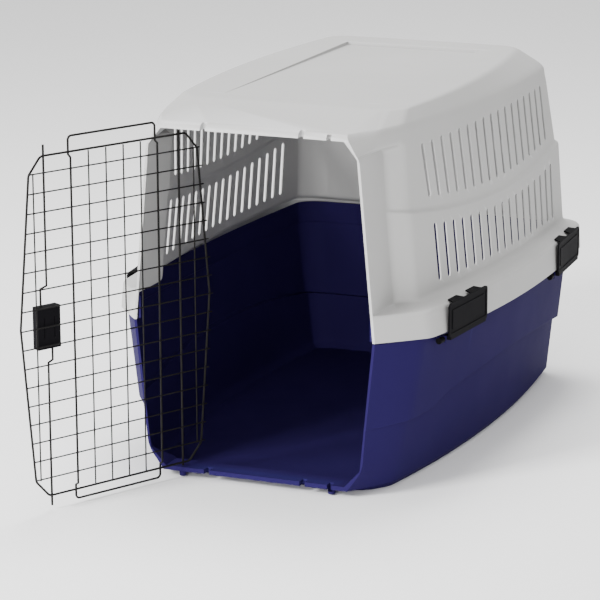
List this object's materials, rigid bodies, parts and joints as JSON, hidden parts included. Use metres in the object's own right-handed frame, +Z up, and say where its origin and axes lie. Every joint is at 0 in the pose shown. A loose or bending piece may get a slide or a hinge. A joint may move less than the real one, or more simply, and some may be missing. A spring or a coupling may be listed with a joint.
{
  "type": "pet transport carrier",
  "caption": "Two-part plastic pet carrier with a slotted top shell, a deep base, side clips and a hinged wire door that bolts top and bottom.",
  "frame": {"origin": "middle of the flat underside of the bottom shell, on the floor", "axes": "+Z up, +Y from the door to the back, +X to the right as seen facing the door; rest has the door open"},
  "size_m": [0.6686, 1.2487, 0.66],
  "materials": {
    "shell_grey": "fine satin grain",
    "shell_blue": "satin",
    "latch_black": "satin grain",
    "wire": "semi-gloss coating",
    "spring_steel": "bare spring steel"
  },
  "bodies": {
    "shells": {"top_shell": "shell_grey", "bottom_shell": "shell_blue"},
    "door": {"door_frame": "wire", "hinge_rod": "wire", "door_loop": "wire", "cross_wire_01": "wire", "cross_wire_02": "wire", "cross_wire_03": "wire", "cross_wire_04": "wire", "cross_wire_05": "wire", "cross_wire_06": "wire", "cross_wire_07": "wire", "cross_wire_08": "wire", "cross_wire_09": "wire", "cross_wire_10": "wire", "cross_wire_11": "wire", "cross_wire_12": "wire", "cross_wire_13": "wire", "cross_wire_14": "wire", "cross_wire_15": "wire", "cross_wire_16": "wire", "cross_wire_17": "wire", "upright_wire_1": "wire", "upright_wire_2": "wire", "upright_wire_3": "wire", "upright_wire_4": "wire", "upright_wire_5": "wire", "upright_wire_6": "wire", "latch_back_plate": "latch_black", "latch_case": "latch_black", "latch_spring": "spring_steel"},
    "upper_bolt": {"upper_latch_rod": "wire", "upper_grip": "latch_black"},
    "lower_bolt": {"lower_latch_rod": "wire", "lower_grip": "latch_black"},
    "front_right_latch": {"front_right_latch": "latch_black"},
    "rear_right_latch": {"rear_right_latch": "latch_black"},
    "front_left_latch": {"front_left_latch": "latch_black"},
    "rear_left_latch": {"rear_left_latch": "latch_black"}
  },
  "joints": [
    {"name": "door_hinge", "type": "hinge", "parent": "shells", "child": "door", "pos_m": [-0.1425, -0.461, 0], "axis": [0, 0, 1], "range_deg": [0, 117.5]},
    {"name": "upper_bolt_slide", "type": "slide", "parent": "door", "child": "upper_bolt", "axis": [0, 0, -1], "range_m": [0, 0.016], "stiffness_N_per_m": 350, "springref_m": -0.012, "deforming": ["latch_spring"]},
    {"name": "lower_bolt_slide", "type": "slide", "parent": "door", "child": "lower_bolt", "axis": [0, 0, 1], "range_m": [0, 0.016], "stiffness_N_per_m": 350, "springref_m": -0.012},
    {"name": "front_right_latch_hinge", "type": "hinge", "parent": "shells", "child": "front_right_latch", "pos_m": [0.30554, -0.248, 0.26263], "axis": [0.0951, 0.9955, 0], "range_deg": [0, 95]},
    {"name": "rear_right_latch_hinge", "type": "hinge", "parent": "shells", "child": "rear_right_latch", "pos_m": [0.31614, 0.305, 0.25116], "axis": [-0.0571, 0.9984, 0], "range_deg": [0, 95]},
    {"name": "front_left_latch_hinge", "type": "hinge", "parent": "shells", "child": "front_left_latch", "pos_m": [-0.30554, -0.248, 0.26263], "axis": [0.0951, -0.9955, 0], "range_deg": [0, 95]},
    {"name": "rear_left_latch_hinge", "type": "hinge", "parent": "shells", "child": "rear_left_latch", "pos_m": [-0.31614, 0.305, 0.25116], "axis": [-0.0571, -0.9984, 0], "range_deg": [0, 95]}
  ]
}
